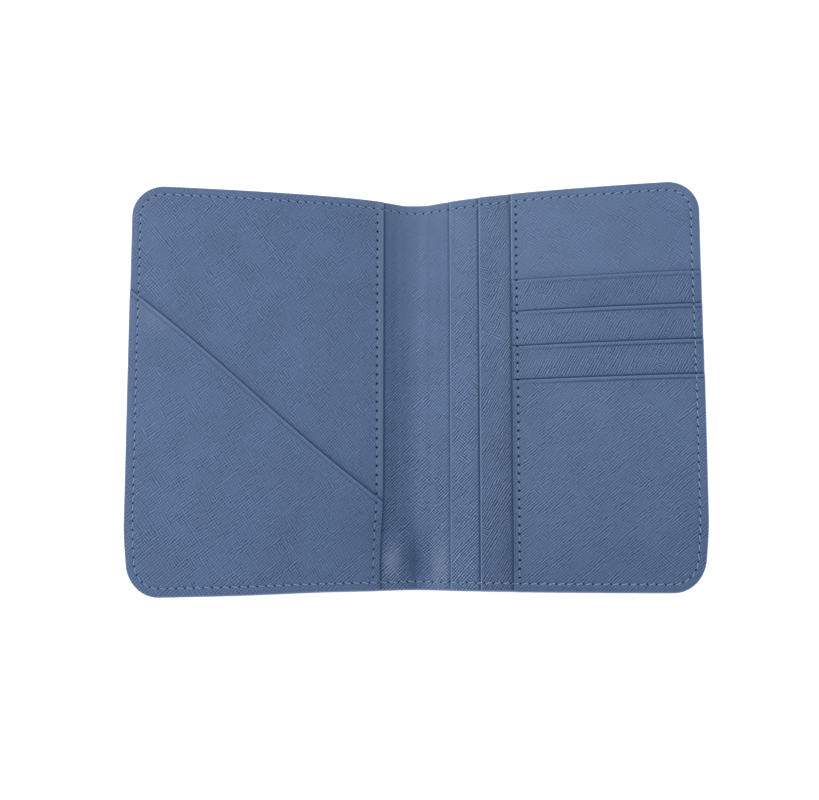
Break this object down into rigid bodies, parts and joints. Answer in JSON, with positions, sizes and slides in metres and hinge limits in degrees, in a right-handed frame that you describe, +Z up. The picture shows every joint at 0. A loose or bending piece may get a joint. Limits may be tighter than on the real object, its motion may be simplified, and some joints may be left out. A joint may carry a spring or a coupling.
{
  "type": "passport holder",
  "caption": "Open bifold leather passport holder with a passport sleeve and diagonal pocket on one cover, and layered sleeves and stepped card slots on the other.",
  "frame": {"origin": "under the middle of the spine, on the surface that the open holder rests on", "axes": "+X across the open holder to the back cover with its card slots, +Y along the spine to the head, +Z up out of the open holder"},
  "size_m": [0.1952, 0.1408, 0.0331],
  "materials": {
    "outer_leather": "satin, cross-hatched saffiano grain",
    "lining_leather": "satin, cross-hatched saffiano grain",
    "pocket_leather": "satin, cross-hatched saffiano grain",
    "edge_paint": "satin painted edge",
    "thread": "waxed polyester thread",
    "board": "matt bonded leather board",
    "cloth": "woven lining cloth"
  },
  "bodies": {
    "spine": {"spine_skin": "outer_leather", "spine_reinforcement": "cloth", "spine_lining": "lining_leather", "spine_edge_coating": "edge_paint", "spine_thread": "thread"},
    "front_cover": {"front_cover_skin": "outer_leather", "front_cover_board": "board", "front_lining": "lining_leather", "front_sleeve_panel": "pocket_leather", "diagonal_pocket": "pocket_leather", "front_edge_coating": "edge_paint", "front_perimeter_thread": "thread", "front_sleeve_thread": "thread"},
    "back_cover": {"back_cover_skin": "outer_leather", "back_cover_board": "board", "back_lining": "lining_leather", "back_sleeve_panel": "pocket_leather", "slip_pocket_panel": "pocket_leather", "card_base_panel": "pocket_leather", "card_pocket_1": "pocket_leather", "card_pocket_2": "pocket_leather", "card_pocket_3": "pocket_leather", "card_pocket_tail_1": "cloth", "card_pocket_tail_2": "cloth", "card_pocket_tail_3": "cloth", "card_front_pocket": "pocket_leather", "back_edge_coating": "edge_paint", "back_perimeter_thread": "thread", "card_panel_thread": "thread"}
  },
  "joints": [
    {"name": "front_cover_fold", "type": "hinge", "parent": "spine", "child": "front_cover", "pos_m": [-0.00614, 0, 0.0015], "axis": [0, 1, 0], "range_deg": [-16.5, 68]},
    {"name": "back_cover_fold", "type": "hinge", "parent": "spine", "child": "back_cover", "pos_m": [0.00614, 0, 0.0015], "axis": [0, -1, 0], "range_deg": [-16.5, 68]}
  ]
}
